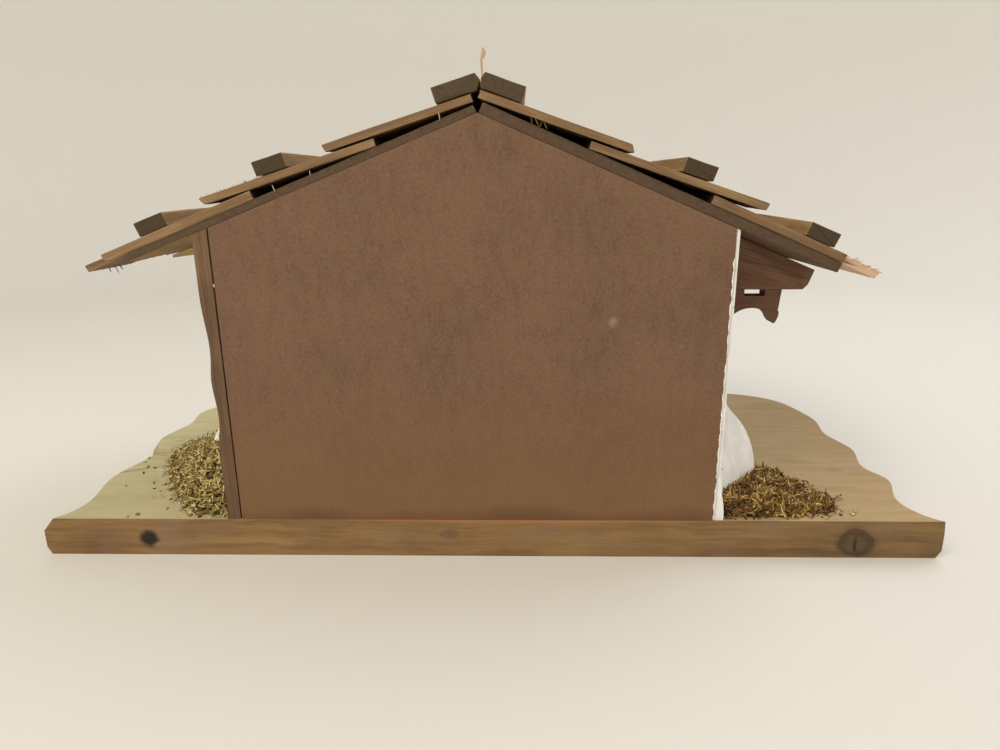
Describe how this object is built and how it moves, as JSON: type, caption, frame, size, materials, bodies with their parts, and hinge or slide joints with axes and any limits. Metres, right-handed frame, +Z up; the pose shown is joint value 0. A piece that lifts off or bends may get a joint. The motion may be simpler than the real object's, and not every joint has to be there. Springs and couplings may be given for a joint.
{
  "type": "nativity stable",
  "caption": "Handmade wooden nativity stable with a closed back, open front, split-shingle saddle roof, one plastered side and moss, on a wavy-edged base board.",
  "frame": {"origin": "middle of the bounding box at the underside of the base board", "axes": "+X towards the plastered side, along the base board's length; +Y towards the open front; +Z up"},
  "size_m": [0.406, 0.2, 0.2134],
  "materials": {
    "stained_pine_base": "thin brown stain, weathered grey on top",
    "hardboard": "bare, matt",
    "plaster": "hand-trowelled, matt",
    "dried_moss": "dry and crumbly",
    "split_shingle_wood": "split by hand, stained",
    "roof_board_wood": "rough sawn, stained",
    "batten_wood": "sawn, stained",
    "raw_splinter_wood": "raw",
    "stained_timber": "stained dark brown, matt"
  },
  "bodies": {
    "root": {"base_board": "stained_pine_base", "corbel_front": "stained_timber", "corbel_rear": "stained_timber", "front_tie_beam": "stained_timber", "king_post": "stained_timber", "moss_plaster_side": "dried_moss", "moss_timber_side": "dried_moss", "plaster_coat": "plaster", "plaster_eave_batten": "batten_wood", "plaster_eave_bracket_front": "stained_timber", "plaster_eave_bracket_rear": "stained_timber", "plaster_eave_shingle_1": "split_shingle_wood", "plaster_eave_shingle_2": "split_shingle_wood", "plaster_eave_shingle_3": "split_shingle_wood", "plaster_eave_shingle_4": "split_shingle_wood", "plaster_eave_shingle_5": "split_shingle_wood", "plaster_front_post": "stained_timber", "plaster_front_rafter": "stained_timber", "plaster_middle_batten": "batten_wood", "plaster_middle_shingle_1": "split_shingle_wood", "plaster_middle_shingle_2": "split_shingle_wood", "plaster_middle_shingle_3": "split_shingle_wood", "plaster_middle_shingle_4": "split_shingle_wood", "plaster_middle_shingle_5": "split_shingle_wood", "plaster_ridge_cap": "batten_wood", "plaster_roof_board": "roof_board_wood", "plaster_top_shingle_1": "split_shingle_wood", "plaster_top_shingle_2": "split_shingle_wood", "plaster_top_shingle_3": "split_shingle_wood", "plaster_top_shingle_4": "split_shingle_wood", "plaster_top_shingle_5": "split_shingle_wood", "plaster_wall_core": "roof_board_wood", "rear_panel": "hardboard", "ridge_beam": "stained_timber", "ridge_splinter": "raw_splinter_wood", "timber_eave_batten": "batten_wood", "timber_eave_bracket_front": "stained_timber", "timber_eave_bracket_rear": "stained_timber", "timber_eave_shingle_1": "split_shingle_wood", "timber_eave_shingle_2": "split_shingle_wood", "timber_eave_shingle_3": "split_shingle_wood", "timber_eave_shingle_4": "split_shingle_wood", "timber_eave_shingle_5": "split_shingle_wood", "timber_front_post": "stained_timber", "timber_front_rafter": "stained_timber", "timber_middle_batten": "batten_wood", "timber_middle_shingle_1": "split_shingle_wood", "timber_middle_shingle_2": "split_shingle_wood", "timber_middle_shingle_3": "split_shingle_wood", "timber_middle_shingle_4": "split_shingle_wood", "timber_middle_shingle_5": "split_shingle_wood", "timber_ridge_cap": "batten_wood", "timber_roof_board": "roof_board_wood", "timber_side_wall": "stained_timber", "timber_top_shingle_1": "split_shingle_wood", "timber_top_shingle_2": "split_shingle_wood", "timber_top_shingle_3": "split_shingle_wood", "timber_top_shingle_4": "split_shingle_wood", "timber_top_shingle_5": "split_shingle_wood", "timber_wall_foot": "plaster"}
  },
  "joints": []
}
